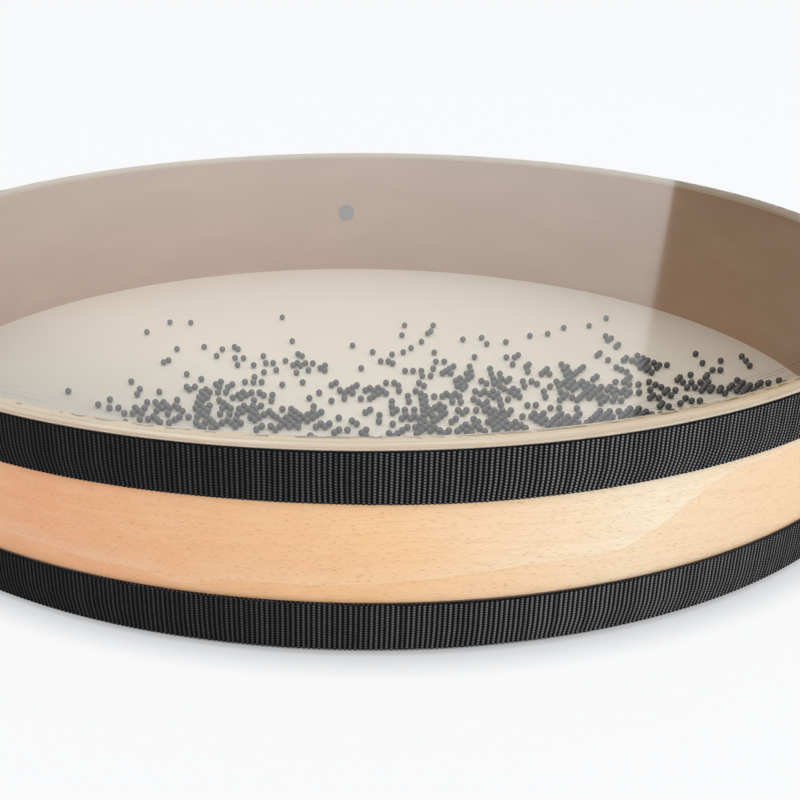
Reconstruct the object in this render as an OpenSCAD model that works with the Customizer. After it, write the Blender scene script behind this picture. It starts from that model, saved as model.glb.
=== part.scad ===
// Ocean drum: a shallow round shell with a clear head above and a cream head below.
// Small steel shot rolls on the lower head. All lengths are in millimetres, Z points up,
// and the origin is at the centre of the face that the drum lies on.

/* [Shell] */
// Outside diameter of the wooden shell
shell_d = 406; // [300:2:520]
// Depth of the shell, from one bearing edge to the other
shell_depth = 64; // [50:0.5:110]
// Thickness of the core ply
core_t = 4.8; // [2.4:0.1:6]
// Thickness of the beech ply outside
outer_veneer_t = 0.6; // [0.3:0.05:1]
// Thickness of the beech ply inside
inner_veneer_t = 0.6; // [0.3:0.05:1]
// Radius that the outer corner of each bearing edge is rounded to
edge_round = 2; // [1:0.1:2.8]
// How far the inner corner of the upper bearing edge is cut away, at 45 degrees
edge_bevel = 2.4; // [0.6:0.1:3]

/* [Heads] */
// Thickness of the film of each head
film_t = 0.25; // [0.15:0.05:0.5]
// How far the film is turned down the side, measured below the rounded corner
skirt_w = 14.4; // [8:0.1:16]
// Thickness of the glue between the shell and the film
skirt_glue_t = 0.15; // [0.05:0.05:0.3]
// Strip at each side of the turned-down film that carries no glue
skirt_glue_margin = 0.8; // [0.2:0.1:2]

/* [Webbing] */
// Width of the ribbed webbing
web_w = 15; // [10:0.5:20]
// Thickness of the webbing over its ribs
web_t = 0.9; // [0.5:0.05:2]
// How far the webbing lies below the face of the head
web_inset = 2.2; // [1.5:0.1:5]
// Thickness of the glue under the webbing
web_glue_t = 0.15; // [0.05:0.05:0.3]
// Strip along each edge of the webbing that carries no glue
web_glue_margin = 1; // [0.2:0.1:3]
// Gap where the two ends of a strip of webbing meet
seam_gap = 0.6; // [0.2:0.1:2]
// Direction of that seam, in degrees from +X
seam_az = 62; // [0:1:360]

/* [Vent plug] */
// Diameter of the plug where it fills the hole that the shot was poured in through
plug_d = 8.8; // [5:0.1:14]
// Clearance round the plug in its hole
plug_clearance = 0.05; // [0.02:0.01:0.2]
// Diameter of the flange on the outside
flange_d = 13; // [9:0.5:18]
// Thickness of the flange at its middle
flange_t = 1.2; // [0.6:0.1:2]
// Thickness of the flange at its edge
flange_edge_t = 0.6; // [0.3:0.1:0.6]
// Gap between the flat back of the flange and the round shell, at the middle
flange_seat = 0.02; // [0.01:0.01:0.1]
// How far the plug stands out of the wall inside the drum
plug_proud = 0.1; // [0:0.05:0.5]
// Direction of the plug, in degrees from +X
plug_az = 91; // [0:1:360]

/* [Shot] */
// Diameter of one ball
ball_d = 2.8; // [1.5:0.1:3.2]
// Gap between two balls on neighbouring places of the lattice that they are scattered from
site_gap = 0.8; // [0.8:0.1:4]
// Room that is kept between the balls and the wall
wall_room = 0.5; // [0.2:0.1:2]
// Gap between the balls in the row that lies along the wall, at least
row_gap = 0.4; // [0.3:0.1:3]
// How far the leading balls can roll on towards the far wall
wash_reach = 42; // [10:1:60]
// Number that settles how the balls are scattered
shot_seed = 41; // [1:1:999]

/* [Hidden] */

// Least width of the flat between the bevel and the rounded corner
edge_flat_least = 0.4;
// Overrun of a cut past the face that it opens
cut = 1;
// Room between the glue and the webbing that lies round it
hairline = 0.03;
$fn = 180;
ball_fn = 20;

// Radii of the shell and of the layers on its outside
shell_r = shell_d / 2;
core_out_r = shell_r - outer_veneer_t;
core_in_r = core_out_r - core_t;
inner_r = core_in_r - inner_veneer_t;
bevel = min(edge_bevel, shell_r - inner_r - edge_round - edge_flat_least);
skirt_r = shell_r + skirt_glue_t;
web_glue_r = skirt_r + film_t;
web_r = web_glue_r + web_glue_t + hairline;

// Heights
total_h = shell_depth + 2 * film_t;
corner_z = total_h - film_t - edge_round;
web_top_z = total_h - web_inset;
mid_z = total_h / 2;

// The balls lie on the lower head, and their middles stay inside this radius
ball_r = ball_d / 2;
ball_z = film_t + ball_r;
roll_r = inner_r - ball_r - wall_room;

// Share of the lattice's gap that a ball may lie off its place, each way
jitter_share = 0.28;
// Shares of the inner radius, across and away from the player, for the middle of each
// clump of shot, then its half-width, its half-depth and the share of places that it fills
clump_shares = [
    [-0.32, -0.12, 0.14, 0.05, 0.64], [-0.27, -0.04, 0.06, 0.05, 0.33], [-0.23, -0.18, 0.16, 0.05, 0.54],
    [-0.2, -0.17, 0.16, 0.04, 0.19], [-0.11, -0.21, 0.06, 0.09, 0.71], [-0.1, 0.16, 0.04, 0.11, 0.12],
    [0.08, 0, 0.06, 0.04, 0.68], [0.14, -0.25, 0.18, 0.1, 0.48], [0.16, -0.1, 0.1, 0.08, 0.56],
    [0.27, 0.07, 0.07, 0.09, 0.32], [0.29, -0.16, 0.07, 0.15, 0.72], [0.38, -0.07, 0.08, 0.06, 0.34],
    [0.47, 0.08, 0.04, 0.08, 0.62], [0.48, -0.19, 0.23, 0.08, 0.66], [0.53, -0, 0.1, 0.07, 0.72],
    [0.6, -0.19, 0.23, 0.11, 0.61], [0.66, 0.16, 0.04, 0.04, 0.55], [0.71, -0.02, 0.06, 0.05, 0.32],
    [0.8, 0.04, 0.07, 0.03, 0.7], [0.85, 0.05, 0.04, 0.11, 0.32], [0.92, 0.2, 0.07, 0.04, 0.27]
];
// Share of the places between the clumps that hold a ball where the shot lies thick
ground_share = 0.15;
// The balls between the clumps lie in small groups. These are the distances from group to
// group, across and away from the player, and how far the groups stray from rows, as
// shares of the inner radius.
grain_x_share = 0.15;
grain_y_share = 0.11;
stray_x_share = 0.31;
stray_y_share = 0.37;
stray_far_share = 0.4;
// Least share of a clump's filling, where it lies between those groups
clump_least_share = 0.65;
// The shot thins out between these shares of the inner radius
thick_to_share = 0.12;
thin_at_share = 0.70;
// Left of this share of the inner radius there is hardly any shot
left_edge_share = -0.46;
left_blur_share = 0.10;
left_least_share = 0.1;
// Share of balls left on the front part of the head, next to the player
front_share = 0.8;

// Edges of the groups of shot that roll on one after the other, as shares of the
// inner radius, from near the player to the far side
band_edge_shares = [-0.32, -0.20, -0.09, 0.02, 0.13, 0.26];
// Shares of the leading balls' travel that each of those groups has
band_travel_shares = [0.25, 0.4, 0.55, 0.7, 0.85, 1];
bands = len(band_edge_shares);

// The row of balls along the wall next to the player
row_middle_az = 270;
row_spread = 88;
row_share = 0.5;

// Rows and columns of the lattice, and three random numbers for each place
site_pitch = ball_d + site_gap;
site_jitter = site_gap * jitter_share;
row_step = site_pitch * sin(60);
site_cols = ceil(2 * roll_r / site_pitch) + 1;
site_rows = ceil(2 * roll_r / row_step) + 1;
site_dice = rands(0, 1, 3 * site_cols * site_rows, shot_seed);

function ramp(v, from, to) = max(0, min(1, (v - from) / (to - from)));
function bell(v, middle, half) = exp(-pow((v - middle) / half, 2));

// Share of the places near a point that hold a ball. The point is given in shares of the
// inner radius.
function thinning(y) = pow(ramp(y, thin_at_share, thick_to_share), 2);
function left_limit(x) = max(
    left_least_share,
    ramp(x, left_edge_share - left_blur_share, left_edge_share + left_blur_share)
);
function clump_fill(x, y) = max([
    for (c = clump_shares) c[4] * bell(x, c[0], c[2]) * bell(y, c[1], c[3])
]);
function grain(x, y) =
    let (
        across = x / grain_x_share + stray_far_share * sin(360 * y / stray_y_share),
        away = y / grain_y_share + stray_far_share * sin(360 * x / stray_x_share)
    )
    pow((1 + sin(360 * across) * sin(360 * away)) / 2, 2);
function fill(x, y) =
    left_limit(x) * thinning(y) * ground_share * 2 * grain(x, y)
    + clump_fill(x, y) * (clump_least_share + grain(x, y));

// Which group a ball belongs to, from how far it lies from the player: 0 is the front
function band_of(y) = len([for (e = band_edge_shares) if (y >= e * inner_r) 1]);
function travel_of(band) = band == 0 ? 0 : wash_reach * band_travel_shares[band - 1];

// Every ball that isn't in the row along the wall. A ball is there if its group has room
// to roll as far as it travels, and if the place's first random number is small enough.
scattered = [
    for (row = [0 : site_rows - 1], col = [0 : site_cols - 1])
    let (
        at = 3 * (row * site_cols + col),
        shift = (row % 2) * site_pitch / 2,
        x = -roll_r + col * site_pitch + shift + site_jitter * (2 * site_dice[at + 1] - 1),
        y = -roll_r + row * row_step + site_jitter * (2 * site_dice[at + 2] - 1),
        band = band_of(y),
        last_y = y + travel_of(band),
        row_room = band == 0 ? ball_d + wall_room : 0,
        share = (band == 0 ? front_share : 1) * fill(x / inner_r, y / inner_r)
    )
    if (norm([x, y]) < roll_r - row_room && norm([x, last_y]) < roll_r)
    if (site_dice[at] < share)
    [x, y, band]
];

// Upright solid of revolution about the drum's axis, from a profile of radius and height
module turned() {
    rotate_extrude() children();
}

// Puts what is made for the top of the drum at its bottom
module at_bottom() {
    translate([0, 0, total_h]) mirror([0, 0, 1]) children();
}

// Turns what stands on the XY plane outwards at the vent hole
module at_vent() {
    rotate([0, 0, plug_az]) translate([0, 0, mid_z]) rotate([0, 90, 0]) children();
}

// Section of the shell and all that it encloses, out to its rounded outer corners. The inner
// corner of the upper bearing edge is bevelled: the section is drawn up to the bevel and, above
// its foot, only outside it. The lower one is left square.
module filled_section() {
    bevel_out_r = inner_r + bevel;
    translate([bevel_out_r, film_t]) square([shell_r - edge_round - bevel_out_r, shell_depth]);
    translate([0, film_t + edge_round]) square([shell_r, shell_depth - 2 * edge_round]);
    for (z = [film_t + edge_round, corner_z])
        translate([shell_r - edge_round, z]) circle(r = edge_round);
    polygon([
        [0, film_t], [bevel_out_r, film_t], [bevel_out_r, total_h - film_t],
        [inner_r, total_h - film_t - bevel], [0, total_h - film_t - bevel]
    ]);
}

// One ply of the shell, between two radii, with the vent hole through it
module ply(from_r, to_r) {
    difference() {
        turned()
            intersection() {
                translate([from_r, film_t]) square([to_r - from_r, shell_depth]);
                filled_section();
            }
        at_vent()
            translate([0, 0, inner_r - cut])
                cylinder(d = plug_d + 2 * plug_clearance, h = shell_r - inner_r + 2 * cut);
    }
}

module shell_core() {
    color("#dcb88c") ply(core_in_r, core_out_r);
}

module shell_outer_veneer() {
    color("#f2bf88") ply(core_out_r, shell_r);
}

module shell_inner_veneer() {
    color("#c9a283") ply(inner_r, core_in_r);
}

// Plug with a low domed flange outside and a barrel that ends at the inner wall
module vent_plug() {
    back = shell_r + flange_seat;
    color("#8e908f")
        at_vent() {
            translate([0, 0, inner_r - plug_proud])
                cylinder(d = plug_d, h = back - inner_r + plug_proud + flange_edge_t);
            translate([0, 0, back]) cylinder(d = flange_d, h = flange_edge_t);
            translate([0, 0, back + flange_edge_t])
                cylinder(d1 = flange_d, d2 = plug_d, h = flange_t - flange_edge_t);
        }
}

// Film over the bearing edge: the flat skin and its bend round the corner of the shell
module head() {
    turned() {
        translate([0, total_h - film_t]) square([shell_r - edge_round, film_t]);
        translate([shell_r - edge_round, corner_z])
            intersection() {
                difference() {
                    circle(r = edge_round + film_t);
                    circle(r = edge_round);
                }
                square(edge_round + film_t);
            }
    }
}

// Ring on the outside of the shell, between two radii and two heights
module side_ring(from_r, to_r, from_z, to_z) {
    turned() translate([from_r, from_z]) square([to_r - from_r, to_z - from_z]);
}

// Film turned down the side
module skirt() {
    side_ring(skirt_r, skirt_r + film_t, corner_z - skirt_w, corner_z);
}

// Glue that holds the turned-down film to the shell
module skirt_glue() {
    side_ring(
        shell_r, skirt_r, corner_z - skirt_w + skirt_glue_margin, corner_z - skirt_glue_margin
    );
}

// Glue that holds the webbing over the film. It stays on the film.
module web_glue() {
    side_ring(
        web_glue_r,
        web_glue_r + web_glue_t,
        max(web_top_z - web_w + web_glue_margin, corner_z - skirt_w),
        min(web_top_z - web_glue_margin, corner_z)
    );
}

// Webbing round the shell, open by a narrow gap where its ends meet
module webbing() {
    seam_half_deg = asin(seam_gap / 2 / web_r);
    rotate([0, 0, seam_az + seam_half_deg])
        rotate_extrude(angle = 360 - 2 * seam_half_deg)
            translate([web_r, web_top_z - web_w]) square([web_t, web_w]);
}

module top_head() {
    color([0.85, 0.88, 0.9, 0.35]) head();
}

module top_head_skirt() {
    color([0.8, 0.83, 0.85, 0.6]) skirt();
}

module top_head_glue() {
    color("#e8ddc0") skirt_glue();
}

module top_webbing_glue() {
    color("#efe6cf") web_glue();
}

module top_webbing() {
    color("#1b1b1d") webbing();
}

module bottom_head() {
    color("#e6dcc6") at_bottom() head();
}

module bottom_head_skirt() {
    color("#d9cfb8") at_bottom() skirt();
}

module bottom_head_glue() {
    color("#e8ddc0") at_bottom() skirt_glue();
}

module bottom_webbing_glue() {
    color("#efe6cf") at_bottom() web_glue();
}

module bottom_webbing() {
    color("#1b1b1d") at_bottom() webbing();
}

module ball(x, y) {
    translate([x, y, ball_z]) sphere(d = ball_d, $fn = ball_fn);
}

// All the scattered balls of one group
module shot_group(band) {
    for (b = scattered) if (b[2] == band) ball(b[0], b[1]);
}

// Balls in a row against the wall, on both sides of the direction of the player, each in
// its own stretch of the row, with some stretches left empty
module shot_row() {
    step = 2 * asin((ball_d + row_gap) / roll_r / 2);
    count = floor(row_spread / step / 2);
    dice = rands(0, 1, 4 * count + 2, shot_seed + 1);
    free = asin(row_gap / roll_r / 2) / 2;
    for (i = [-count : count]) {
        at = 2 * (i + count);
        az = row_middle_az + i * step + free * (2 * dice[at + 1] - 1);
        if (dice[at] < row_share) ball(roll_r * cos(az), roll_r * sin(az));
    }
}

module shot_rim() {
    color("#4a4d4f") shot_row();
}

module shot_front() {
    color("#4a4d4f") shot_group(0);
}

module shot_band_1() {
    color("#505356") shot_group(1);
}

module shot_band_2() {
    color("#4a4d4f") shot_group(2);
}

module shot_band_3() {
    color("#505356") shot_group(3);
}

module shot_band_4() {
    color("#4a4d4f") shot_group(4);
}

module shot_band_5() {
    color("#505356") shot_group(5);
}

module shot_strays() {
    color("#4a4d4f") shot_group(bands);
}

shell_core();
shell_outer_veneer();
shell_inner_veneer();
vent_plug();
top_head_skirt();
top_head_glue();
top_webbing_glue();
top_webbing();
bottom_head();
bottom_head_skirt();
bottom_head_glue();
bottom_webbing_glue();
bottom_webbing();
shot_rim();
shot_front();
shot_band_1();
shot_band_2();
shot_band_3();
shot_band_4();
shot_band_5();
shot_strays();
top_head();
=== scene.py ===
import math

import bmesh
import bpy
import numpy as np
from mathutils import Matrix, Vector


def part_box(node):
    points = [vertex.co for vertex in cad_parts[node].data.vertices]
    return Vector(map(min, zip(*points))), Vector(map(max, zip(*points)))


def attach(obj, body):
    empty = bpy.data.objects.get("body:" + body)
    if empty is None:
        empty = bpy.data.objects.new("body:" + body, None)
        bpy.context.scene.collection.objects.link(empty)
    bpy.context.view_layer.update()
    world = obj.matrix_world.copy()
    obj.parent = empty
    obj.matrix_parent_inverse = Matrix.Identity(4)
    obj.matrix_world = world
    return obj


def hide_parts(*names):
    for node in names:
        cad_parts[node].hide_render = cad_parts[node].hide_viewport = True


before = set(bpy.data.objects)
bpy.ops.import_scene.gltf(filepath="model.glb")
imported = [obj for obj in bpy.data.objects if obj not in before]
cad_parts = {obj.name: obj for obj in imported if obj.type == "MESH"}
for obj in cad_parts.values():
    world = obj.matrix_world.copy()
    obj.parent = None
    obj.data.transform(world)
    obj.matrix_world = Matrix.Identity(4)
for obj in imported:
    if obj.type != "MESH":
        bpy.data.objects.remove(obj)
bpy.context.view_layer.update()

mm = 0.001


# Camera

view = {
    "sensorMm": 36,
    "lensMm": 54.077,
    "nearMm": 10,        # nothing nearer than this is seen
    "behindMm": 485.83,  # from the drum's axis, on the player's side
    "heightMm": 186.16,  # above the floor
    "downDeg": 26.946,
    "turnDeg": 3.517,    # above 0 is to the left
    "rollDeg": 0.869,
    "shift": (0.1468, 0.1482),  # the photograph's frame lies right of and above the lens's axis
}


def addCamera(size):
    # levelled to look along +Y, then rolled, tipped down, turned and put in its place:
    # place @ turn @ tip @ roll @ level
    data = bpy.data.cameras.new("camera")
    data.sensor_width = size["sensorMm"]
    data.lens = size["lensMm"]
    data.shift_x, data.shift_y = size["shift"]
    data.clip_start = size["nearMm"] * mm
    camera = bpy.data.objects.new("camera", data)
    bpy.context.scene.collection.objects.link(camera)
    place = Matrix.Translation((0, -size["behindMm"] * mm, size["heightMm"] * mm))
    turn = Matrix.Rotation(math.radians(size["turnDeg"]), 4, "Z")
    tip = Matrix.Rotation(math.radians(-size["downDeg"]), 4, "X")
    roll = Matrix.Rotation(math.radians(size["rollDeg"]), 4, "Y")
    level = Matrix.Rotation(math.radians(90), 4, "X")
    camera.matrix_world = place @ turn @ tip @ roll @ level
    bpy.context.scene.camera = camera


addCamera(view)
bpy.context.scene.view_settings.view_transform = "Standard"
print("camera: done")


# Shader maths

class Wire:
    # a shader socket that Python's own signs work on: each sign adds one Math node

    def __init__(self, tree, socket=None):
        self.tree = tree
        self.socket = socket

    def node(self, kind, settings, inputs, output=0):
        # any other node: settings are its properties, inputs the values or links of its sockets,
        # and output the socket to go on from, or None where it has none
        made = self.tree.nodes.new("ShaderNode" + kind)
        for name, value in settings.items():
            if name == "stops":
                setStops(made.color_ramp, value)
            else:
                setattr(made, name, value)
        for name, value in inputs.items():
            if isinstance(value, Wire):
                self.tree.links.new(value.socket, made.inputs[name])
            else:
                made.inputs[name].default_value = value
        return None if output is None else Wire(self.tree, made.outputs[output])

    def maths(self, operation, *terms):
        return self.node("Math", {"operation": operation}, dict(enumerate(terms)))

    def __add__(self, other):
        return self.maths("ADD", self, other)

    def __radd__(self, other):
        return self.maths("ADD", other, self)

    def __sub__(self, other):
        return self.maths("SUBTRACT", self, other)

    def __rsub__(self, other):
        return self.maths("SUBTRACT", other, self)

    def __mul__(self, other):
        return self.maths("MULTIPLY", self, other)

    def __rmul__(self, other):
        return self.maths("MULTIPLY", other, self)

    def __truediv__(self, other):
        return self.maths("DIVIDE", self, other)

    def __pow__(self, other):
        return self.maths("POWER", self, other)


def setStops(band, stops):
    # stops are (place from 0 to 1, colour), in rising order
    while len(band.elements) < len(stops):
        band.elements.new(1)
    for element, (place, colour) in zip(band.elements, stops):
        element.position = place
        element.color = (*colour, 1)


def makeMaterial(name, surfaceOf):
    # surfaceOf gets the empty tree as a wire and returns its surface shader
    material = bpy.data.materials.new(name)
    material.use_nodes = True
    material.node_tree.nodes.clear()
    start = Wire(material.node_tree)
    start.node("OutputMaterial", {}, {"Surface": surfaceOf(start)}, None)
    return material


mixSockets = {"first": 6, "second": 7, "mixed": 2}   # the Mix node's colour sockets


def mixColours(start, share, first, second, blend="MIX"):
    # first + share * (second - first), or with MULTIPLY first * (1 + share * (second - 1))
    first, second = [c if isinstance(c, Wire) else (*c, 1) for c in (first, second)]
    inputs = {"Factor": share, mixSockets["first"]: first, mixSockets["second"]: second}
    settings = {"data_type": "RGBA", "blend_type": blend}
    return start.node("Mix", settings, inputs, mixSockets["mixed"])


def objectPlace(start):
    # x, y and z of the surface point, in metres
    spot = start.node("TexCoord", {}, {}, "Object")
    return [start.node("SeparateXYZ", {}, {0: spot}, axis) for axis in "XYZ"]


def roundPlace(start, radius):
    # length along the wall = radius * atan2(y, x), and height
    x, y, z = objectPlace(start)
    return start.maths("ARCTAN2", y, x) * radius, z


def fromAxis(start):
    # distance from the drum's axis = sqrt(x^2 + y^2)
    x, y = objectPlace(start)[:2]
    return start.maths("SQRT", x * x + y * y)


def sheetPlace(start):
    # the two lengths of the piece's own map
    spot = start.node("UVMap", {"uv_map": "sheet"}, {})
    return [start.node("SeparateXYZ", {}, {0: spot}, axis) for axis in "XY"]


def vector(start, parts):
    # two or three parts as one vector, whose missing part is 0
    return start.node("CombineXYZ", {}, dict(zip("XYZ", parts)))


def noise(start, places, sizes, detail=2):
    # smooth noise about 0.5 at place / size, so that sizes are the lengths of its bumps
    spot = vector(start, [place / size for place, size in zip(places, sizes)])
    return start.node("TexNoise", {}, {"Vector": spot, "Scale": 1, "Detail": detail}, "Fac")


def speckle(start, size, detail=2):
    # noise with bumps of one size in all directions
    return noise(start, objectPlace(start), (size, size, size), detail)


def ramp(start, value, low, high):
    # 0 below low, 1 above high and smooth between; low may be the greater one
    settings = {"interpolation_type": "SMOOTHSTEP"}
    least, greatest = min(low, high), max(low, high)
    rise = start.node("MapRange", settings, {"Value": value, "From Min": least,
                                             "From Max": greatest})
    return 1 - rise if low > high else rise


def rampDeg(start, angle, fromDeg, toDeg):
    # the same from one direction to another, both in degrees
    return ramp(start, angle, math.radians(fromDeg), math.radians(toDeg))


def bell(start, value, middle, half):
    # 1 at middle, falling to 0 at middle +- half: (1 - ((value - middle) / half)^2), squared
    away = (value - middle) / half
    rest = start.maths("MAXIMUM", 1 - away * away, 0.0)
    return rest * rest


def wave(start, operation, turns):
    # sine or cosine of a number of full turns
    return start.maths(operation, turns * 2 * math.pi)


def stain(start, colour, along, z, look):
    # colour + share * ramp(noise) * (stain - colour), and the noise itself
    places = (along, z, look.get("slice", 0.0))
    spots = noise(start, places, (*look["size"], 1), look.get("detail", 3))
    share = ramp(start, spots, *look["ramp"]) * look["share"]
    return mixColours(start, share, colour, look["colour"]), spots


def solid(start, colour, roughness, height=None, depth=0.0, gloss=0.5, metal=0.0):
    # an opaque surface, raised by depth metres where height is 1
    inputs = {"Base Color": colour, "Roughness": roughness, "Specular IOR Level": gloss,
              "Metallic": metal}
    if height is not None:
        raised = {"Height": height, "Distance": depth, "Strength": 1.0}
        inputs["Normal"] = start.node("Bump", {}, raised)
    return start.node("BsdfPrincipled", {}, inputs)


# Meshes

sameSpot = 1e-6    # corners of a piece that are nearer to each other than this are one, in metres


def nodePoints(name):
    # a CAD node's corners, in metres
    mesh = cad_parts[name].data
    flat = np.empty(3 * len(mesh.vertices), np.float32)
    mesh.vertices.foreach_get("co", flat)
    return flat.reshape(-1, 3).astype(float)


def ringSize(name):
    # least and greatest hypot(x, y), then least and greatest z, of a CAD node
    points = nodePoints(name)
    away = np.hypot(points[:, 0], points[:, 1])
    return away.min(), away.max(), points[:, 2].min(), points[:, 2].max()


def stacked(*parts):
    # arrays that broadcast to one shape, as the parts of one array of points
    return np.stack(np.broadcast_arrays(*parts), -1)


def arc(middle, radius, fromDeg, toDeg, steps):
    # middle + radius * (cos t, sin t), with t from fromDeg to toDeg
    t = np.radians(np.linspace(fromDeg, toDeg, steps + 1))
    return stacked(middle[0] + radius * np.cos(t), middle[1] + radius * np.sin(t))


def turned(profile, columns):
    # (r cos a, r sin a, z) for each (r, z) of the profile and each a from 0 to 360 degrees, with
    # the map place (a * greatest r, length along the profile)
    radius, height = np.asarray(profile, float).T
    angle = np.linspace(0, 2 * np.pi, columns + 1)[:, None]
    along = np.r_[0, np.cumsum(np.hypot(np.diff(radius), np.diff(height)))]
    grid = stacked(radius * np.cos(angle), radius * np.sin(angle), height)
    return grid, stacked(angle * radius.max(), along)


def addPiece(name, patches, materials, body, replaced):
    # patches are (grid of points, grid of map places, material number). Point (i, j) of a grid
    # joins (i + 1, j) and (i, j + 1), and points that fall on each other become one.
    points = np.concatenate([grid.reshape(-1, 3) for grid, sheet, number in patches])
    places = np.concatenate([sheet.reshape(-1, 2) for grid, sheet, number in patches])
    faces = []
    numbers = []
    first = 0
    for grid, sheet, number in patches:
        rows, columns = grid.shape[:2]
        at = first + np.arange(rows * columns).reshape(rows, columns)
        quads = np.stack([at[:-1, :-1], at[1:, :-1], at[1:, 1:], at[:-1, 1:]], -1).reshape(-1, 4)
        faces.append(quads)
        numbers.append(np.full(len(quads), number))
        first += rows * columns
    faces = np.concatenate(faces)
    mesh = bpy.data.meshes.new(name)
    mesh.from_pydata(points.tolist(), [], faces.tolist())
    sheetMap = mesh.uv_layers.new(name="sheet")
    sheetMap.data.foreach_set("uv", places[faces.ravel()].astype(np.float32).ravel())
    mesh.polygons.foreach_set("material_index", np.concatenate(numbers).astype(np.int32))
    for material in materials:
        mesh.materials.append(material)
    whole = bmesh.new()
    whole.from_mesh(mesh)
    bmesh.ops.remove_doubles(whole, verts=whole.verts, dist=sameSpot)
    whole.to_mesh(mesh)
    whole.free()
    placePiece(mesh, body, replaced)


def placePiece(mesh, body, replaced):
    # a smooth mesh becomes a piece, with its finish, its body and the nodes it stands for
    mesh.shade_smooth()
    piece = bpy.data.objects.new(mesh.name, mesh)
    bpy.context.scene.collection.objects.link(piece)
    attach(piece, body)
    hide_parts(*replaced)


def dress(name, material):
    # gives a CAD node its finish
    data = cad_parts[name].data
    data.materials.clear()
    data.materials.append(material)


# Sizes that the pieces share

webIn, webOut, webLow, webHigh = ringSize("top_webbing")
wallOut = ringSize("shell_outer_veneer")[1]
wallIn = ringSize("shell_inner_veneer")[0]
bendLow = ringSize("top_head")[2]
topZ = ringSize("top_head")[3]
filmOut = ringSize("top_head")[1]
film = filmOut - wallOut
edgeRound = topZ - film - bendLow
core = nodePoints("shell_core")
coreTop = core[core[:, 2] > core[:, 2].max() - 0.01 * mm]
flatIn = np.hypot(coreTop[:, 0], coreTop[:, 1]).min()    # inner edge of the flat bearing edge


# Shell

beech = {
    # colour by the direction from the drum's axis, in degrees: the wood's own orange left of the
    # player, and paler to the right with a painted highlight that is palest round -67 degrees
    "round": [
        (-180, (0.92, 0.62, 0.38)), (-140, (0.86, 0.44, 0.25)), (-115, (0.88, 0.44, 0.24)),
        (-86, (0.97, 0.62, 0.34)), (-67, (0.96, 0.84, 0.65)), (-50, (0.94, 0.74, 0.52)),
        (-15, (0.93, 0.65, 0.41)), (60, (0.90, 0.55, 0.32)), (130, (0.93, 0.67, 0.44)),
        (180, (0.92, 0.62, 0.38)),
    ],
    "broad": (60 * mm, 24 * mm),    # a noise of this size strays that direction
    "stray": 0.03,                  # by this share of a turn
    "roughness": 0.5,
    "gloss": 0.12,
    "relief": 0.05 * mm,
    "layers": {
        # two growth layers meet at this height, which a noise strays and each climb then adds
        # to between two directions in degrees
        "low": 23.4 * mm,
        "stray": 1.5 * mm,
        "strayLength": 25 * mm,
        "climbs": [(-117, -111, -2 * mm), (-107, -104, -2.6 * mm), (-103, -99, 3 * mm),
                   (-92, -74, 4 * mm), (-70, -56, 18 * mm), (-30, 60, -20.4 * mm)],
        "below": (0.985, 0.905, 0.82),    # times this under the boundary
        "soft": 0.2 * mm,
        "light": (0.97, 0.80, 0.62),      # paler from 7 mm to just above it
        "lightShare": 0.18,
        "lightReach": (7 * mm, 0.3 * mm),
        "line": (0.80, 0.48, 0.28),
        "lineShare": 0.25,
        "lineHalf": 0.3 * mm,
    },
    "blotch": {"size": (13 * mm, 3.5 * mm), "ramp": (0.35, 0.75), "share": 0.25,
               "colour": (0.95, 0.68, 0.42)},
    "grain": {"size": (8 * mm, 0.32 * mm), "ramp": (0.50, 0.75), "share": 0.36,
              "colour": (0.74, 0.43, 0.23)},
    "growthLines": {
        "driftSize": (120 * mm, 30 * mm, 1),
        "driftSlice": 3.0,
        "drift": 9,           # lines that the drift moves them by
        "apart": 6.5 * mm,
        "ramp": (0.4, 1.0),
        "share": 0.07,
        "colour": (0.70, 0.38, 0.19),
    },
    "fleck": {
        "cell": (3.0 * mm, 0.36 * mm),    # along and up: one fleck at most in each
        "half": (1.2 * mm, 0.07 * mm),    # half the length and height of the longest
        "shortest": 0.3,                  # share of that length
        "rowShift": 37,                   # greatest shift of a row, in cells
        "from": (0.3, 0.35),              # least place of its middle in the cell
        "stray": (0.4, 0.3),              # and how far it strays from there
        "rare": 3,                        # the higher, the fewer are dark
        "crisp": 0.8,
        "share": 0.75,
        "colour": (0.58, 0.29, 0.14),
    },
    "sanded": {
        # the rounded corner under the clear head, with a painted shade line near its foot, where it
        # meets the film and the webbing: heights above the foot, and colours left and right of the
        # player
        "rise": (0.1 * mm, 0.7 * mm),
        "left": (0.76, 0.65, 0.51),
        "right": (0.56, 0.43, 0.29),
        "turnDeg": (-92, -65),            # directions from the left colour to the right one
        "line": (0.45, 0.30, 0.18),
        "lineUp": 0.55 * mm,
        "lineHalf": 0.22 * mm,
        "lineShare": 0.12,
        "lineShareRight": 0.25,           # and this much more on the right
    },
}


def cellDice(start, column, row):
    # three even random numbers from 0 to 1 for each cell
    cell = vector(start, (column, row))
    dice = start.node("TexWhiteNoise", {"noise_dimensions": "2D"}, {"Vector": cell}, "Color")
    return [start.node("SeparateColor", {}, {0: dice}, name) for name in ("Red", "Green", "Blue")]


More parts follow.
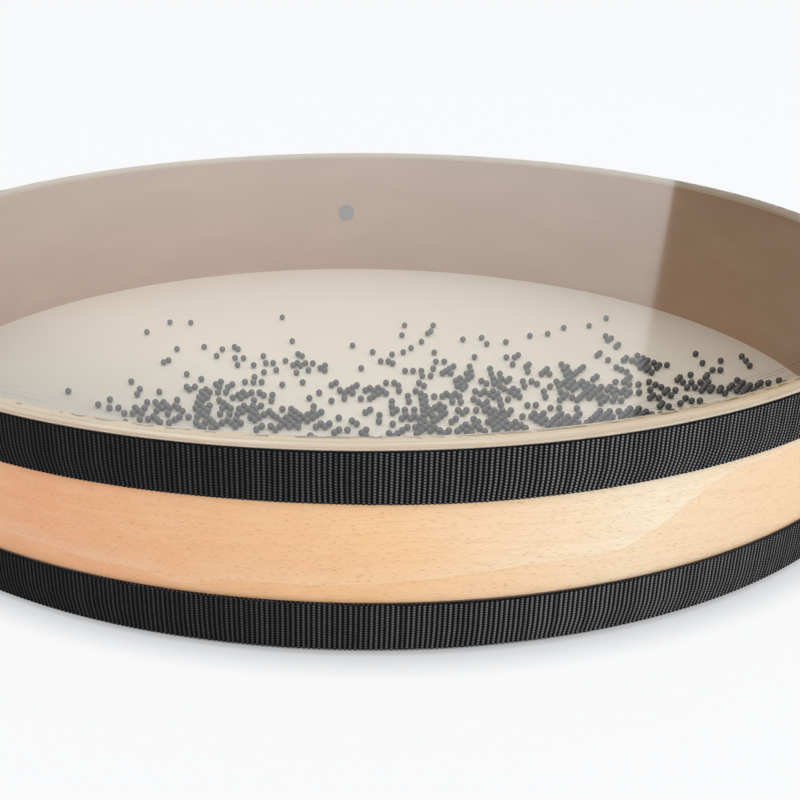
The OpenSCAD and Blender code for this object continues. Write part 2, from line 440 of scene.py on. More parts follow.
def flecks(start, along, z):
    # Rows of cells, each row moved along by its own dice. A fleck has its own middle and length:
    # 1 - (from its middle / half length)^2 - (above it / half height)^2, made crisp, times dice^3.
    fleck = beech["fleck"]
    wide, tall = fleck["cell"]
    halfLong, halfTall = fleck["half"]
    v = z / tall
    row = start.maths("FLOOR", v)
    shift = start.node("TexWhiteNoise", {"noise_dimensions": "1D"}, {"W": row}, "Value")
    u = along / wide + shift * fleck["rowShift"]
    column = start.maths("FLOOR", u)
    a, b, c = cellDice(start, column, row)
    reach = fleck["shortest"] + (1 - fleck["shortest"]) * b
    middle = fleck["from"][0] + fleck["stray"][0] * a
    level = fleck["from"][1] + fleck["stray"][1] * b
    fromMiddle = (u - column - middle) * wide / halfLong / reach
    above = (v - row - level) * tall / halfTall
    within = 1 - fromMiddle * fromMiddle - above * above
    return ramp(start, within, 0.0, fleck["crisp"]) * (c ** fleck["rare"])


def addLayers(start, colour, along, z):
    # the boundary's height = low + stray * (noise - 0.5) + each climb * its ramp
    layers = beech["layers"]
    drift = noise(start, (along, 1.0), (layers["strayLength"], 1))
    edge = layers["low"] + layers["stray"] * (drift - 0.5)
    for fromDeg, toDeg, climb in layers["climbs"]:
        edge = edge + climb * rampDeg(start, along / wallOut, fromDeg, toDeg)
    light = ramp(start, z - edge, *layers["lightReach"]) * layers["lightShare"]
    colour = mixColours(start, light, colour, layers["light"])
    below = ramp(start, edge - z, -layers["soft"], layers["soft"])
    colour = mixColours(start, below, colour, layers["below"], "MULTIPLY")
    line = bell(start, z - edge, 0.0, layers["lineHalf"]) * layers["lineShare"]
    return mixColours(start, line, colour, layers["line"])


def addGrowthLines(start, colour, along, z):
    # contours of a slowly wandering height: sin(2 pi * (z / apart + drift * noise))
    lines = beech["growthLines"]
    drift = noise(start, (along, z, lines["driftSlice"]), lines["driftSize"], 1)
    ring = wave(start, "SINE", z / lines["apart"] + drift * lines["drift"])
    share = ramp(start, ring, *lines["ramp"]) * lines["share"]
    return mixColours(start, share, colour, lines["colour"])


def addSanded(start, colour, along, z):
    # the pale corner, mixed from left to right, then the painted shade line at its foot
    sanded = beech["sanded"]
    right = rampDeg(start, along / wallOut, *sanded["turnDeg"])
    pale = mixColours(start, right, sanded["left"], sanded["right"])
    rise = ramp(start, z, *[bendLow + up for up in sanded["rise"]])
    colour = mixColours(start, rise, colour, pale)
    # painted shade: a darker line at the corner's foot, stronger on the right
    line = bell(start, z, bendLow + sanded["lineUp"], sanded["lineHalf"])
    share = sanded["lineShare"] + sanded["lineShareRight"] * right
    return mixColours(start, line * share, colour, sanded["line"])


def beechSurface(start):
    # share of the full turn, strayed by a broad noise, looked up in the colours with their painted
    # highlight; then the growth layers, blotches, grain, growth lines, flecks and the sanded corner
    # over it
    along, z = roundPlace(start, wallOut)
    broad = noise(start, (along, z), beech["broad"])
    share = along / wallOut / (2 * math.pi) + 0.5 + beech["stray"] * (broad - 0.5)
    stops = [((degrees + 180) / 360, colour) for degrees, colour in beech["round"]]
    colour = start.node("ValToRGB", {"stops": stops}, {"Fac": share})
    colour = addLayers(start, colour, along, z)
    colour = stain(start, colour, along, z, beech["blotch"])[0]
    colour, grain = stain(start, colour, along, z, beech["grain"])
    colour = addGrowthLines(start, colour, along, z)
    marks = flecks(start, along, z)
    share = marks * beech["fleck"]["share"]
    colour = mixColours(start, share, colour, beech["fleck"]["colour"])
    colour = addSanded(start, colour, along, z)
    height = grain * 0.5 - marks
    return solid(start, colour, beech["roughness"], height, beech["relief"], beech["gloss"])


ply = {
    # the edge: thin streaks round the drum, from pale to cream, and golden patches over them
    "pale": (0.61, 0.49, 0.335),
    "cream": (0.70, 0.575, 0.425),
    "gold": (0.56, 0.405, 0.25),
    "streak": (9 * mm, 0.22 * mm, 0.3 * mm),    # along, away from the axis and up
    "streakRamp": (0.3, 0.7),
    "patch": (14 * mm, 1.1 * mm, 1.4 * mm),
    "patchRamp": (0.55, 0.8),
    "goldInPatches": 0.25,
    "goldOnRight": 0.75,
    "rightDeg": (-85, -60),
    "glueLine": (0.40, 0.27, 0.17),
    "glueLineIn": 1.9 * mm,                     # from the outside of the wall
    "glueLineHalf": 0.16 * mm,
    "glueLineShare": 0.3,
    # the bevel of the bearing edge, inside the flat
    "olive": (0.54, 0.475, 0.395),
    "honey": (0.47, 0.355, 0.22),               # its lower part
    "honeyIn": (0.9 * mm, 1.5 * mm),
    "bevelSoft": 0.1 * mm,
    "bevelStreaks": 0.2,
    "bevelRamp": (0.4, 0.8),
    "roughness": 0.6,
    "relief": 0.03 * mm,
}


def plySurface(start):
    # outside the flat's inner edge the cut plies, inside it the bevel
    along, z = roundPlace(start, wallOut)
    away = fromAxis(start)
    streak = noise(start, (along, away, z), ply["streak"], 3)
    creamy = ramp(start, streak, *ply["streakRamp"])
    colour = mixColours(start, creamy, ply["pale"], ply["cream"])
    patch = noise(start, (along, away, z), ply["patch"])
    right = rampDeg(start, along / wallOut, *ply["rightDeg"])
    golden = ramp(start, patch, *ply["patchRamp"]) * ply["goldInPatches"]
    golden = golden + right * ply["goldOnRight"]
    colour = mixColours(start, golden, colour, ply["gold"])
    glueLine = bell(start, away, wallOut - ply["glueLineIn"], ply["glueLineHalf"])
    colour = mixColours(start, glueLine * ply["glueLineShare"], colour, ply["glueLine"])
    lower = ramp(start, away, *[flatIn - inward for inward in ply["honeyIn"]])
    bevel = mixColours(start, lower, ply["olive"], ply["honey"])
    streaked = ramp(start, streak, *ply["bevelRamp"]) * ply["bevelStreaks"]
    bevel = mixColours(start, streaked, bevel, ply["pale"])
    onBevel = ramp(start, away, flatIn + ply["bevelSoft"], flatIn - ply["bevelSoft"])
    colour = mixColours(start, onBevel, colour, bevel)
    return solid(start, colour, ply["roughness"], streak, ply["relief"])


inside = {
    "colour": (0.48, 0.32, 0.215),
    "grain": {"size": (18 * mm, 0.8 * mm), "ramp": (0.35, 0.75), "share": 0.35,
              "colour": (0.42, 0.27, 0.175)},
    "blotch": {"size": (45 * mm, 16 * mm), "slice": 5.0, "detail": 2, "ramp": (0.4, 0.7),
               "share": 0.4, "colour": (0.56, 0.385, 0.27)},
    "roughness": 0.55,
    "relief": 0.03 * mm,
}


def insideSurface(start):
    # the colour, with grain and then blotches over it
    along, z = roundPlace(start, wallIn)
    colour, grain = stain(start, inside["colour"], along, z, inside["grain"])
    colour = stain(start, colour, along, z, inside["blotch"])[0]
    return solid(start, colour, inside["roughness"], grain, inside["relief"])


dress("shell_outer_veneer", makeMaterial("beechOutside", beechSurface))
dress("shell_core", makeMaterial("shellPly", plySurface))
dress("shell_inner_veneer", makeMaterial("plyInside", insideSurface))
print("shell: three plies")


# Heads

headMesh = {
    "columns": 360,
    "cornerSteps": 8,
    "firstRing": 0.3 * mm,              # from the bend to the first ring of points
    "rings": (0.995, 0.9, 0.5, 0),      # further rings, as shares of the flat's radius
}


def headPatches(flip, under):
    # a flat skin that bends round the wall's corner, as two skins a film apart; flip turns
    # height z into topZ - z, and under is the inner skin's material number
    corner = (wallOut - edgeRound, bendLow)
    steps = headMesh["cornerSteps"]
    rings = [corner[0] - headMesh["firstRing"]] + [corner[0] * share for share in headMesh["rings"]]
    rings = np.array(rings)
    outside = np.vstack([arc(corner, edgeRound + film, 0, 90, steps), stacked(rings, topZ)])
    underneath = stacked(rings, topZ - film)[::-1]
    inner = np.vstack([underneath, arc(corner, edgeRound, 90, 0, steps), outside[:1]])
    patches = []
    for profile, number in ((outside, 0), (inner, under)):
        if flip:
            profile = profile[::-1] * (1, -1) + (0, topZ)
        patches.append((*turned(profile, headMesh["columns"]), number))
    return patches


clearFilm = {
    "straightOn": 0.073,                # share of the light that it reflects at right angles
    "edgeOn": 0.54,                     # and how much more at a grazing angle
    "roughness": 0.08,
    "tint": (0.97, 0.97, 0.965),
    "whiteningAndHighlight": (0.94, 0.86, 0.74),       # stress whitens it where it bends over the corner, and this white band also stands in for the bend's highlight: partly a painted highlight
    "crease": 0.92,                     # share of that
    "creaseUp": 0.05 * mm,              # above the foot of the bend
    "creaseHalf": 0.55 * mm,
    # faint rings that the drawing-over leaves inside the wall
    "ringGap": 1.45 * mm,
    "ringWander": 1.6 * mm,
    "ringWanderSize": (70 * mm, 1),
    "ringRamp": (0.3, 1.0),
    "ringsInside": (10 * mm, 2 * mm),   # they come in this far inside the wall
    "ringsEnd": (0.9 * mm, 2.4 * mm),   # and end this far inside the flat of the bearing edge
    "ringPatch": (25 * mm, 1.1 * mm),
    "patchRamp": (0.35, 0.6),
    "ringTint": (0.66, 0.66, 0.66),
    "ringShine": 0.07,
}


def filmRings(start, along, away):
    # ramp(cos(2 pi * (away + wander * noise) / gap)), near the wall and in patches
    look = clearFilm
    wander = noise(start, (along, 0.0), look["ringWanderSize"], 1)
    turns = (away + wander * look["ringWander"]) / look["ringGap"]
    line = ramp(start, wave(start, "COSINE", turns), *look["ringRamp"])
    nearWall = ramp(start, away, *[wallIn - inward for inward in look["ringsInside"]])
    nearWall = nearWall * ramp(start, away, *[flatIn - inward for inward in look["ringsEnd"]])
    patchy = noise(start, (along, away), look["ringPatch"])
    return line * nearWall * ramp(start, patchy, *look["patchRamp"])


def filmSurface(start):
    # reflected share = straightOn + edgeOn * facing^5 + ringShine * rings; the rest goes through
    look = clearFilm
    along, z = roundPlace(start, wallOut)
    rings = filmRings(start, along, fromAxis(start))
    facing = start.node("LayerWeight", {}, {"Blend": 0.5}, "Facing")
    share = look["straightOn"] + look["edgeOn"] * facing ** 5 + rings * look["ringShine"]
    tint = mixColours(start, rings, look["tint"], look["ringTint"])
    clear = start.node("BsdfTransparent", {}, {"Color": tint})
    mirror = {"Color": (1, 1, 1, 1), "Roughness": look["roughness"]}
    gloss = start.node("BsdfAnisotropic", {}, mirror)
    sheet = start.node("MixShader", {}, {0: share, 1: clear, 2: gloss})
    # the white band at the bend: the film's stress whitening and a painted highlight along the bend
    whiteningAndHighlight = start.node("BsdfDiffuse", {}, {"Color": (*look["whiteningAndHighlight"], 1)})
    crease = bell(start, z, bendLow + look["creaseUp"], look["creaseHalf"]) * look["crease"]
    return start.node("MixShader", {}, {0: crease, 1: sheet, 2: whiteningAndHighlight})


def underFilmSurface(start):
    # the clear head's inner skin adds nothing to the outer one
    return start.node("BsdfTransparent", {}, {"Color": (1, 1, 1, 1)})


underWebbing = {
    "colour": (0.10, 0.055, 0.03),    # painted contact shadow along the lower webbing's upper edge, over what little shows of skirt and glue
    "reach": 2.2 * mm,
}


def shadeEdge(start, colour, z):
    # painted shade: darkest at the lower webbing's upper edge, unchanged from reach away
    shade = bell(start, z, topZ - webLow, underWebbing["reach"])
    return mixColours(start, shade, colour, underWebbing["colour"])


creamFilm = {
    "colour": (0.82, 0.76, 0.645),
    "cloud": (0.86, 0.80, 0.69),
    "cloudSize": 70 * mm,
    "nearShade": (0.585, 0.57, 0.50),    # painted shade: greyer towards the player's side of the drum's floor
    "nearShadeSlope": 0.9,               # by the length y + 0.9 * x, strayed by the clouds
    "nearShadeStray": 30 * mm,
    "nearShadeFrom": (20 * mm, -190 * mm),
    "foot": (0.52, 0.525, 0.53),      # painted contact shade: grey where it bends up from the floor, under the lower webbing
    "footFrom": (-0.6 * mm, 0.1 * mm),
    "tooth": 0.5 * mm,
    "toothDeep": 0.01 * mm,
    "roughness": 0.38,
    "gloss": 0.2,
}


def creamSurface(start):
    # clouds, then the painted shade on the player's side, the painted contact shade at the foot and
    # the shade at the webbing over them
    look = creamFilm
    x, y, z = objectPlace(start)
    cloud = speckle(start, look["cloudSize"], 3)
    colour = mixColours(start, cloud, look["colour"], look["cloud"])
    # painted shade, greyer towards the player's side
    slope = y + look["nearShadeSlope"] * x + look["nearShadeStray"] * (cloud - 0.5)
    nearShade = ramp(start, slope, *look["nearShadeFrom"])
    colour = mixColours(start, nearShade, colour, look["nearShade"])
    # painted contact shade at the foot of the bend
    foot = ramp(start, fromAxis(start), *[wallOut + outward for outward in look["footFrom"]])
    colour = mixColours(start, foot, colour, look["foot"])
    colour = shadeEdge(start, colour, z)
    tooth = speckle(start, look["tooth"])
    return solid(start, colour, look["roughness"], tooth, look["toothDeep"], look["gloss"])


addPiece("clearHead", headPatches(flip=False, under=1),
         [makeMaterial("clearFilm", filmSurface), makeMaterial("clearFilmUnder", underFilmSurface)],
         "drum", ["top_head"])
addPiece("creamHead", headPatches(flip=True, under=0), [makeMaterial("creamFilm", creamSurface)],
         "drum", ["bottom_head"])
dress("top_head_skirt", makeMaterial("clearFilmSide", filmSurface))
dress("bottom_head_skirt", bpy.data.materials["creamFilm"])
print("heads: clear above, cream below")


# Webbing

webbing = {
    "ribs": 884,
    "columnsPerRib": 6,
    "rows": 9,                  # rows of points up the face
    "rowsReach": (0.02, 0.98),  # shares of the height
    "edge": 0.55,               # share of the thickness at which the face's rounding ends
    "rounding": (0.004, 0.12),  # shares of the height and thickness half way round it
    "ribDeep": 0.42 * mm,
    "ribRound": 0.8,            # below 1 for broad crowns with narrow grooves
    "scallop": 0.07 * mm,       # how far the edges draw in between two ribs
    "fray": 0.06 * mm,          # how far they wander
    "frayWaves": (9, 17, 29, 43),
    "edgeOnly": 12,             # the higher, the nearer to the edges these two stay
    "lean": 1.9 * mm,           # how far the lower ends of the ribs lean along the drum
    "leanFrom": 0.55,           # from this share of the height, counted down
    "leanBend": 1.3,
    "leanWaves": 3,             # round the drum
    "leanFray": 0.25,
    "uprightDeg": -92,          # where round the drum they stand upright
    "sag": 0.22 * mm,           # how far the edge on the wood's side waves, in waves a turn
    "waves": 9,
    "sagDeg": -79,
    "strand": 0.82 * mm,        # from one crossing strand to the next
    # its surface
    "colour": (0.0045, 0.0045, 0.005),
    # shine: a painted highlight, the sheen of the fibres on crowns and beads
    "shine": (0.27, 0.272, 0.283),
    "roughness": 0.6,
    "gloss": 0.06,
    "relief": 0.16 * mm,
    "slant": 0.5,               # strands that a bead rises by across its rib
    "shuffle": 7,               # strands by which each rib's dice can move its beads
    "beads": (-0.3, 1.0),       # ramp of the cosine that makes them
    "crownHalf": 0.36,          # of a rib
    "betweenBeads": 0.22,       # light of a crown there, as a share
    "plain": 0.45,              # light = plain + byRib * dice + byWear * noise
    "byRib": 0.5,
    "byWear": 0.6,
    "wearSize": (2.6, 3.1),     # in ribs and strands
    "darkEdge": (0.1, 0.5),     # in strands
    "farLight": 0.22,           # painted sheen: light = this + cos^10 of the angle from the brightest side
    "brightestDeg": -64,
    "selvage": 0.8 * mm,        # smooth strip along the lower webbing's top edge
    "selvageSoft": 0.65,        # of its width
    "selvageDims": 0.85,
    "threads": (1.3 * mm, 0.6 * mm),
    "threadRamp": (0.2, 1.0),
    "threadLight": 0.3,
}


def seamEnds(name):
    # middle and width of the widest empty stretch of a ring's corners, as angles
    points = nodePoints(name)
    angle = np.sort(np.arctan2(points[:, 1], points[:, 0]))
    empty = np.diff(np.r_[angle, angle[0] + 2 * np.pi])
    widest = empty.argmax()
    return angle[widest] + empty[widest] / 2, empty[widest]


def frayWave(seed, turn):
    # sum of share / 3 * sin(k * angle + shift) for four k, with each share from 0.3 to 1
    dice = np.random.default_rng(seed)
    total = 0
    for k in webbing["frayWaves"]:
        share = dice.uniform(0.3, 1) / 3
        total = total + share * np.sin(k * turn + dice.uniform(0, 2 * np.pi))
    return total


def webbingGrid(seed, lowEnd, moved):
    # Round the wall at angle a: radius = outside - ribDeep * (1 - |sin(pi * rib)|^0.8). The height
    # is the section's, with both edges drawn in by scallop between ribs and moved by the two given
    # lengths, and the first waving by sag * cos(waves * (a - place)). The lower ends lean by
    # lean * end^1.3 * (fray(a) / 4 - sin(3 * (a - upright))^3), where end goes from 0 near half
    # the height to 1 at the edge that lowEnd names.
    size = webbing
    rise = webHigh - webLow
    middle, gap = seamEnds("top_webbing")
    rib = np.linspace(0, size["ribs"], size["ribs"] * size["columnsPerRib"] + 1)[:, None]
    valley = 1 - np.abs(np.sin(np.pi * rib)) ** size["ribRound"]
    # the section, in shares: up the face, over the top edge, down the back and under
    edge, (low, shallow) = size["edge"], size["rounding"]
    up = np.linspace(*size["rowsReach"], size["rows"])
    share = np.r_[0.0, low, up, 1 - low, 1.0, 1.0, 0.0, 0.0]
    depth = np.r_[edge, shallow, 0 * up, shallow, edge, 1.0, 1.0, edge]
    ribbed = np.clip(1 - depth / edge, 0, 1)
    radius = webOut - (webOut - webIn) * depth - size["ribDeep"] * valley * ribbed
    turn = middle + gap / 2 + (2 * np.pi - gap) * rib / size["ribs"]
    fray = frayWave(seed, turn)
    fromMiddle = 2 * share - 1
    drawn = size["scallop"] * valley + size["fray"] * (1 + fray)
    height = webLow + rise * share
    height = height - np.abs(fromMiddle) ** size["edgeOnly"] * np.sign(fromMiddle) * drawn
    sag = np.cos(size["waves"] * (turn - math.radians(size["sagDeg"])))
    firstMoved = moved[0] + math.copysign(size["sag"], moved[0]) * sag
    height = height + (1 - share) * firstMoved + share * moved[1]
    end = np.abs(share - 1 + lowEnd) - size["leanFrom"]
    end = np.clip(end / (1 - size["leanFrom"]), 0, 1) ** size["leanBend"]
    upright = math.radians(size["uprightDeg"])
    lean = size["leanFray"] * fray - np.sin(size["leanWaves"] * (turn - upright)) ** 3
    angle = turn + size["lean"] * end * lean / webOut
    grid = stacked(radius * np.cos(angle), radius * np.sin(angle), height)
    return grid, stacked(rib, share * rise / size["strand"])


def webbingSurface(start):
    # each rib is a chain of crossing strands, which show as slanting beads one above the other; the
    # grey shine of crowns and beads is a painted highlight
    look = webbing
    rib, strand = sheetPlace(start)
    along, z = roundPlace(start, webOut)
    number = start.maths("FLOOR", rib)
    side = rib - number - 0.5
    dice = start.node("TexWhiteNoise", {"noise_dimensions": "1D"}, {"W": number}, "Value")
    step = wave(start, "COSINE", strand + dice * look["shuffle"] + side * look["slant"])
    bead = ramp(start, step, *look["beads"])
    crown = bell(start, side, 0.0, look["crownHalf"])
    wear = noise(start, (rib, strand), look["wearSize"])
    light = crown * (look["betweenBeads"] + (1 - look["betweenBeads"]) * bead)
    light = light * (look["plain"] + look["byRib"] * dice + look["byWear"] * wear)
    # darker along both edges, and a painted sheen that dims away from the brightest side
    total = (webHigh - webLow) / look["strand"]
    toEdge = start.maths("MINIMUM", strand, total - strand)
    paintedSheen = start.maths("COSINE", along / webOut - math.radians(look["brightestDeg"]))
    paintedSheen = start.maths("MAXIMUM", paintedSheen, 0.0) ** 10
    light = light * ramp(start, toEdge, *look["darkEdge"]) * (look["farLight"] + paintedSheen)
    # the selvage's slanting threads: painted highlights, bright where cos(along / 1.3 mm + z / 0.6
    # mm) is high
    middle = topZ - webLow - look["selvage"] / 2
    strip = bell(start, z, middle, look["selvage"] * look["selvageSoft"])
    thread = wave(start, "COSINE", along / look["threads"][0] + z / look["threads"][1])
    threadLight = strip * ramp(start, thread, *look["threadRamp"]) * look["threadLight"]
    light = light * (1 - look["selvageDims"] * strip) + threadLight
    colour = mixColours(start, light, look["colour"], look["shine"])
    height = crown * 0.5 + bead * crown * 0.5
    return solid(start, colour, look["roughness"], height, look["relief"], look["gloss"])


def endCap(loop, loopMap, end):
    # closes the first or the last section of a strip by faces to its middle
    middle = np.broadcast_to(loop[end].mean(0), loop[end].shape)
    pair = [middle, loop[end]] if end == 0 else [loop[end], middle]
    return np.stack(pair), np.stack([loopMap[end]] * 2), 0


def addWebbing(name, node, material, flip, seed, moved):
    # flip turns height z into topZ - z; each section's last point is its first one again
    grid, sheet = webbingGrid(seed, 1 if flip else 0, moved)
    if flip:
        grid = grid[:, ::-1] * (1, 1, -1) + (0, 0, topZ)
        sheet = sheet[:, ::-1]
    loop = np.concatenate([grid, grid[:, :1]], 1)
    loopMap = np.concatenate([sheet, sheet[:, :1]], 1)
    patches = [(loop, loopMap, 0), endCap(loop, loopMap, 0), endCap(loop, loopMap, -1)]
    addPiece(name, patches, [material], "drum", [node])


webbingLook = makeMaterial("blackWebbing", webbingSurface)
addWebbing("upperWebbing", "top_webbing", webbingLook, flip=False, seed=3,
           moved=(-0.45 * mm, -0.2 * mm))
addWebbing("lowerWebbing", "bottom_webbing", webbingLook, flip=True, seed=8,
           moved=(0.45 * mm, 0.25 * mm))

glue = {
    "colour": (0.70, 0.62, 0.42),
    "smear": (0.86, 0.80, 0.62),
    "smearSize": (3 * mm, 3 * mm, 1.2 * mm),
    "roughness": 0.5,
    "relief": 0.05 * mm,
}


def glueSurface(start):
    # smears of two tones, with the shade at the webbing over them
    places = objectPlace(start)
    smear = noise(start, places, glue["smearSize"], 3)
    colour = shadeEdge(start, mixColours(start, smear, glue["colour"], glue["smear"]), places[2])
    return solid(start, colour, glue["roughness"], smear, glue["relief"])


glueLook = makeMaterial("glue", glueSurface)
for node in ("top_head_glue", "top_webbing_glue", "bottom_head_glue", "bottom_webbing_glue"):
    dress(node, glueLook)
print("webbing: two strips and the glue")


# Vent plug

plug = {
    "colour": (0.205, 0.212, 0.217),
    "cloud": (0.24, 0.247, 0.252),
    "cloudSize": 3 * mm,
    "tooth": 0.3 * mm,
    "toothDeep": 0.02 * mm,
    "roughness": 0.5,
    "columns": 48,
    "flangeRound": 0.3 * mm,
    "domeSteps": 8,
    "barrelRound": 0.35 * mm,
    "sunk": (0.25 * mm, 0.2 * mm),    # its inner face, in the middle and at the edge
    "sunkEdge": 1.1 * mm,             # from the barrel's outside
}


def plugSurface(start):
    # clouds of two greys on a fine tooth
    colour = mixColours(start, speckle(start, plug["cloudSize"]), plug["colour"], plug["cloud"])
    return solid(start, colour, plug["roughness"], speckle(start, plug["tooth"]),
                 plug["toothDeep"])


def plugPatches():
    # a profile of (radius, distance from the drum's axis) turned about the plug's own axis
    points = nodePoints("vent_plug")
    middle = (points.min(0) + points.max(0)) / 2
    out = np.array([middle[0], middle[1], 0]) / np.hypot(middle[0], middle[1])
    side = np.array([-out[1], out[0], 0])
    up = np.array([0, 0, 1.0])
    far = points @ out
    across = np.hypot(points @ side, points[:, 2] - middle[2])
    inner, outer = far.min(), far.max()
    barrel = across[far < wallOut - mm].max()
    flange = across.max()
    back = far[across > flange - 0.1 * mm].min()
    curve, small = plug["flangeRound"], plug["barrelRound"]
    rim = arc((flange - curve, back + curve), curve, -90, 60, 6)
    rimRadius, rimFar = rim[-1]
    t = np.linspace(0, np.pi / 2, plug["domeSteps"] + 1)[1:]
    dome = stacked(rimRadius * np.cos(t), rimFar + (outer - rimFar) * np.sin(t))
    face = [(0, inner + plug["sunk"][0]), (barrel - plug["sunkEdge"], inner + plug["sunk"][1])]
    bevel = arc((barrel - small, inner + small), small, -90, 0, 5)
    profile = np.vstack([face, bevel, [(barrel, back)], rim, dome])
    angle = np.linspace(0, 2 * np.pi, plug["columns"] + 1)[:, None]
    radius, distance = profile.T
    spoke = np.cos(angle)[..., None] * side + np.sin(angle)[..., None] * up
    grid = distance[None, :, None] * out + radius[None, :, None] * spoke + middle[2] * up
    return [(grid, stacked(angle * flange, np.arange(len(radius)) * mm), 0)]


addPiece("ventPlug", plugPatches(), [makeMaterial("greyPlug", plugSurface)],
         "drum", ["vent_plug"])
print("vent plug")


# Steel shot

shot = {
    "columns": 12,
    "rows": 6,
    "cell": 0.5,        # width of a cell of guesses, in radii
    "oneBall": 0.9,     # cells nearer to each other than this are of one ball, in radii
    "steel": (0.105, 0.11, 0.112),
    "tarnish": (0.14, 0.145, 0.145),
    "tarnishSize": 1.5 * mm,
    "roughness": 0.42,
    "rougher": 0.2,     # with the tarnish
    "metal": 0.4,
    "groups": {
        "shot_rim": "shot_at_wall", "shot_front": "shot_in_front", "shot_strays": "shot_leading",
        **{f"shot_band_{n}": f"shot_group_{n}" for n in range(1, 6)},
    },
}


def steelSurface(start):
    # tarnish makes it paler and rougher: roughness = 0.42 + 0.2 * noise
    tarnish = speckle(start, shot["tarnishSize"])
    colour = mixColours(start, tarnish, shot["steel"], shot["tarnish"])
    return solid(start, colour, shot["roughness"] + shot["rougher"] * tarnish, metal=shot["metal"])


def ballMiddles(name):
    # Every facet of a ball points away from its middle: middle = facet's middle - radius * normal.
    # These guesses are put in cells, and cells near one another are of one ball, whose middle is
    # the mean of their guesses.
    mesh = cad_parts[name].data
    low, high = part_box(name)
    radius = (high.z - low.z) / 2
    middle = np.empty(3 * len(mesh.polygons), np.float32)
    normal = np.empty(3 * len(mesh.polygons), np.float32)
    mesh.polygons.foreach_get("center", middle)
    mesh.polygons.foreach_get("normal", normal)
    guess = middle.reshape(-1, 3).astype(float) - radius * normal.reshape(-1, 3)
    cells = np.round(guess[:, :2] / (radius * shot["cell"]))
    which = np.unique(cells, axis=0, return_inverse=True)[1].ravel()
    sums = np.stack([np.bincount(which, guess[:, axis]) for axis in (0, 1)], -1)
    size = np.bincount(which)
    near = sums / size[:, None]
    gap = np.hypot(near[:, None, 0] - near[None, :, 0], near[:, None, 1] - near[None, :, 1])
    group = (gap < radius * shot["oneBall"]).argmax(1)
    group = group[group]
    ball = np.unique(group, return_inverse=True)[1]
    flat = np.stack([np.bincount(ball, sums[:, axis]) for axis in (0, 1)], -1)
    flat = flat / np.bincount(ball, size)[:, None]
    return np.column_stack([flat, np.full(len(flat), (high.z + low.z) / 2)]), radius


def ballMesh(name, middles, radius):
    # (r sin p cos a, r sin p sin a, r cos p) about each middle, with the poles as single corners
    rows, columns = shot["rows"], shot["columns"]
    p = np.linspace(0, np.pi, rows + 1)[1:-1, None]
    a = np.linspace(0, 2 * np.pi, columns, endpoint=False)
    body = stacked(np.sin(p) * np.cos(a), np.sin(p) * np.sin(a), np.cos(p)).reshape(-1, 3)
    unit = np.vstack([body, [[0, 0, 1]], [[0, 0, -1]]])
    at = np.arange((rows - 1) * columns).reshape(rows - 1, columns)
    beside = np.roll(at, -1, 1)
    quads = np.stack([at[:-1], at[1:], beside[1:], beside[:-1]], -1).reshape(-1, 4)
    top = np.stack([np.full(columns, len(body)), at[0], beside[0]], -1)
    bottom = np.stack([np.full(columns, len(body) + 1), beside[-1], at[-1]], -1)
    firsts = np.arange(len(middles))[:, None, None] * len(unit)
    faces = []
    for part in (quads, top, bottom):
        faces += (part + firsts).reshape(-1, part.shape[1]).tolist()
    points = (middles[:, None] + radius * unit).reshape(-1, 3)
    mesh = bpy.data.meshes.new(name)
    mesh.from_pydata(points.tolist(), [], faces)
    return mesh


steelLook = makeMaterial("steelShot", steelSurface)
balls = 0
for node, body in shot["groups"].items():
    middles, radius = ballMiddles(node)
    mesh = ballMesh(node.replace("shot_", "steelShot_"), middles, radius)
    mesh.materials.append(steelLook)
    placePiece(mesh, body, [node])
    balls += len(middles)
print("steel shot:", balls, "balls")


# Floor, card and light

studio = {
    "white": (0.947, 0.954, 0.965),
    "corner": (0.39, 0.395, 0.405),    # painted contact shadow: the floor's colour where it meets the drum
    "floorHalf": 6.0,
    "flat": 0.95,                      # share of flat white in what is seen of the floor
    "contact": 13 * mm,                # reach of the shadow where the drum meets the floor
    "contactRays": 8,
    "sky": 0.58,
    # black card behind the drum, which the clear head mirrors: its distance from the camera,
    # its left edge as seen from there, and its other edges
    "cardAway": 2.2,
    "cardFromDeg": 14.81,
    "cardLeanDeg": 2.55,
    "cardRight": 3.0,
    "cardLow": 0.1,
    "cardHigh": 2.5,
    # watts, side of the square, place and the point it shines at
    "lamps": {
        "keyLamp": (20, 2.4, (1.4, -1.0, 1.3), (0, 0, 0.03)),
        "fillLamp": (4.5, 1.2, (-0.9, -1.3, 1.2), (0, 0, 0.03)),
        "overheadLamp": (7, 2.0, (0, 0.6, 1.5), (0, 0, 0)),
    },
}


def seenDirectly(start):
    # 1 for what is seen by the camera, in a mirror or through something clear, else 0
    kinds = ("Camera", "Glossy", "Transmission")
    rays = [start.node("LightPath", {}, {}, f"Is {kind} Ray") for kind in kinds]
    return start.maths("MINIMUM", rays[0] + rays[1] + rays[2], 1.0)


def floorSurface(start):
    # lit for the light itself, flat for what sees it; a painted contact shadow, greyer where less
    # of the sky is open
    rays, reach = {"samples": studio["contactRays"]}, {"Distance": studio["contact"]}
    openness = start.node("AmbientOcclusion", rays, reach, "AO")
    white = mixColours(start, openness, studio["corner"], studio["white"])
    lit = start.node("BsdfDiffuse", {}, {"Color": white})
    flat = start.node("Emission", {}, {"Color": white, "Strength": 1.0})
    share = seenDirectly(start) * studio["flat"]
    return start.node("MixShader", {}, {0: share, 1: lit, 2: flat})


def blackSurface(start):
    # none of the light comes back
    return start.node("BsdfDiffuse", {}, {"Color": (0, 0, 0, 1)})


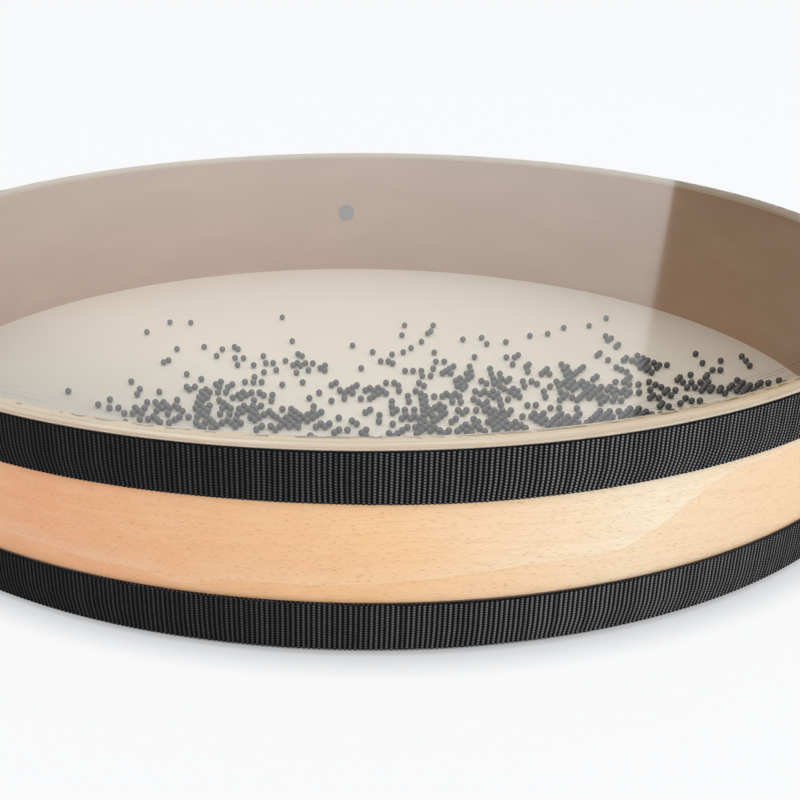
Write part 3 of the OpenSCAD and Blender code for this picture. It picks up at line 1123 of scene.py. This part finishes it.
def addWorld():
    # an even sky for the light itself, the studio's white for what sees it
    world = bpy.data.worlds.new("studio")
    world.use_nodes = True
    world.node_tree.nodes.clear()
    start = Wire(world.node_tree)
    sky = start.node("Background", {}, {"Color": (1, 1, 1, 1), "Strength": studio["sky"]})
    white = start.node("Background", {}, {"Color": (*studio["white"], 1), "Strength": 1.0})
    mixed = start.node("MixShader", {}, {0: seenDirectly(start), 1: sky, 2: white})
    start.node("OutputWorld", {}, {"Surface": mixed}, None)
    bpy.context.scene.world = world


def addFlat(name, corners, material):
    # one flat face, which belongs to the studio
    mesh = bpy.data.meshes.new(name)
    mesh.from_pydata(corners, [], [tuple(range(len(corners)))])
    mesh.materials.append(material)
    flat = bpy.data.objects.new(name, mesh)
    bpy.context.scene.collection.objects.link(flat)
    return flat


def addCard():
    # left edge = distance * tan(fromDeg), leaning out by height * tan(leanDeg); it shows in the
    # clear head alone
    left = studio["cardAway"] * math.tan(math.radians(studio["cardFromDeg"]))
    lean = math.tan(math.radians(studio["cardLeanDeg"]))
    back = studio["cardAway"] - view["behindMm"] * mm
    low, high = studio["cardLow"], studio["cardHigh"]
    leftHigh = left - (high - low) * lean
    corners = [(left, back, low), (studio["cardRight"], back, low),
               (studio["cardRight"], back, high), (leftHigh, back, high)]
    card = addFlat("blackCard", corners, makeMaterial("cardBlack", blackSurface))
    card.visible_camera = False
    card.visible_diffuse = False
    card.visible_shadow = False
    card.visible_transmission = False


def addLamp(name, watts, side, place, target):
    # a lamp shines along its -Z: tipped up from there, then turned to the target
    data = bpy.data.lights.new(name, "AREA")
    data.shape = "RECTANGLE"
    data.size = side
    data.size_y = side
    data.energy = watts
    lamp = bpy.data.objects.new(name, data)
    bpy.context.scene.collection.objects.link(lamp)
    gaze = np.array(target) - np.array(place)
    turn = math.atan2(gaze[1], gaze[0]) - math.pi / 2
    tip = math.atan2(math.hypot(gaze[0], gaze[1]), -gaze[2])
    aim = Matrix.Rotation(turn, 4, "Z") @ Matrix.Rotation(tip, 4, "X")
    lamp.matrix_world = Matrix.Translation(place) @ aim


half = studio["floorHalf"]
addFlat("floor", [(-half, -half, 0), (half, -half, 0), (half, half, 0), (-half, half, 0)],
        makeMaterial("floorWhite", floorSurface))
addCard()
addWorld()
for name, settings in studio["lamps"].items():
    addLamp(name, *settings)
print("floor, card and light")
